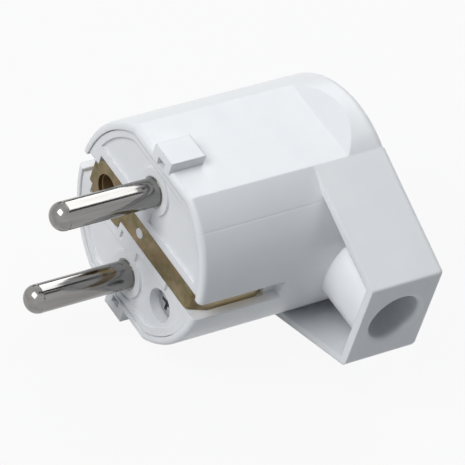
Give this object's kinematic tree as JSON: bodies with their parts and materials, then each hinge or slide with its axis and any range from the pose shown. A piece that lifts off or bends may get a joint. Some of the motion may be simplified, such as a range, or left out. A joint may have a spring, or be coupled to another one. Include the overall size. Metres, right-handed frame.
{
  "type": "grounded plug",
  "caption": "White rewirable grounded mains plug: round body with two flats, two round pins, side earth contacts, an earth hole and a side cord outlet.",
  "frame": {"origin": "middle of the engagement face, halfway between the two pins", "axes": "+X towards the cord outlet, -Y the way the pins point, +Z from the lower pin to the upper pin"},
  "size_m": [0.0486, 0.0571, 0.0368],
  "materials": {
    "cover_plastic": "moulded, satin gloss",
    "carrier_plastic": "moulded, satin",
    "plated_brass": "nickel plate, polished",
    "strap_brass": "rolled, dull",
    "zinc_steel": "zinc plate"
  },
  "bodies": {
    "root": {"housing": "cover_plastic", "pin_carrier": "carrier_plastic", "pin_upper": "plated_brass", "pin_lower": "plated_brass", "pin_bridge": "carrier_plastic", "bridge_screw": "zinc_steel", "terminal_screw_upper": "zinc_steel", "terminal_screw_lower": "zinc_steel", "terminal_screw_earth": "zinc_steel", "wire_leaf_upper": "strap_brass", "wire_leaf_lower": "strap_brass", "wire_leaf_earth": "strap_brass", "earth_strap": "strap_brass", "earth_sleeve": "strap_brass", "earth_terminal": "strap_brass", "earth_rivet": "strap_brass", "housing_screw": "zinc_steel", "screw_washer": "zinc_steel", "threaded_insert": "strap_brass", "clamp_bar": "carrier_plastic", "clamp_screw_upper": "zinc_steel", "clamp_screw_lower": "zinc_steel"}
  },
  "joints": []
}
